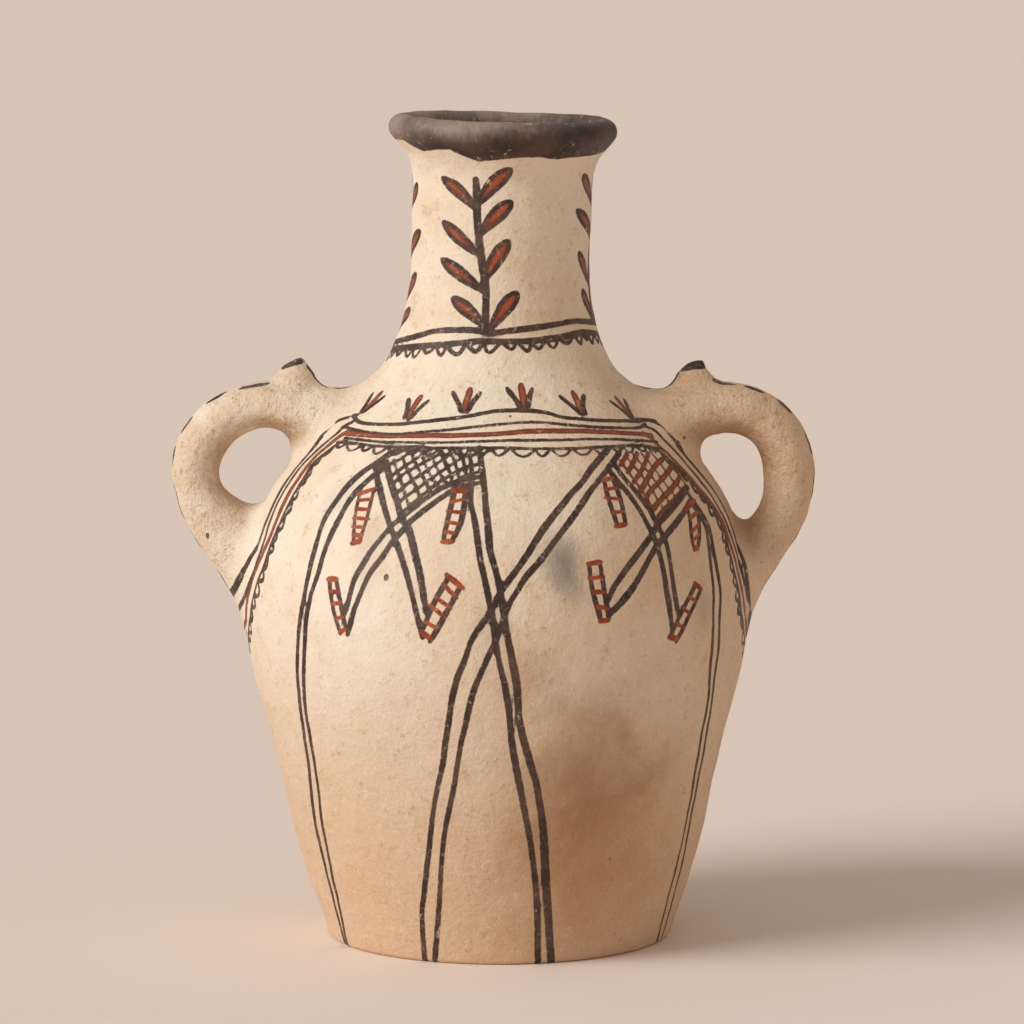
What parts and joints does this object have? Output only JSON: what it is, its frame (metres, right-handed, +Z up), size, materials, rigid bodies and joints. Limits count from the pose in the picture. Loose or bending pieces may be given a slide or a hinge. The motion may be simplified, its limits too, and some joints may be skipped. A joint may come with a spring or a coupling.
{
  "type": "pottery vase with handles",
  "caption": "Hand-built pottery jar with a tall flared neck, dark rolled rim, and side loop handles with spurs; cream slip painted with sprigs, bands and lattice.",
  "frame": {"origin": "middle of the flat foot, on the surface the jar stands on", "axes": "+Z up along the jar's axis, X through the two handles, -Y towards the painted front"},
  "size_m": [0.3128, 0.2446, 0.3999],
  "materials": {
    "slip_clay": "matt cream slip with brown-black and iron-red painted lines",
    "handle_clay": "gritty matt slip, worn",
    "base_clay": "bare gritty fired clay",
    "rim_paint": "satin brown-black paint, chipped"
  },
  "bodies": {
    "root": {"base_slab": "base_clay", "lower_wall": "slip_clay", "belly_wall": "slip_clay", "shoulder_wall": "slip_clay", "neck_wall": "slip_clay", "rim_roll": "rim_paint", "handle_left": "handle_clay", "handle_right": "handle_clay", "spur_left": "handle_clay", "spur_right": "handle_clay"}
  },
  "joints": []
}
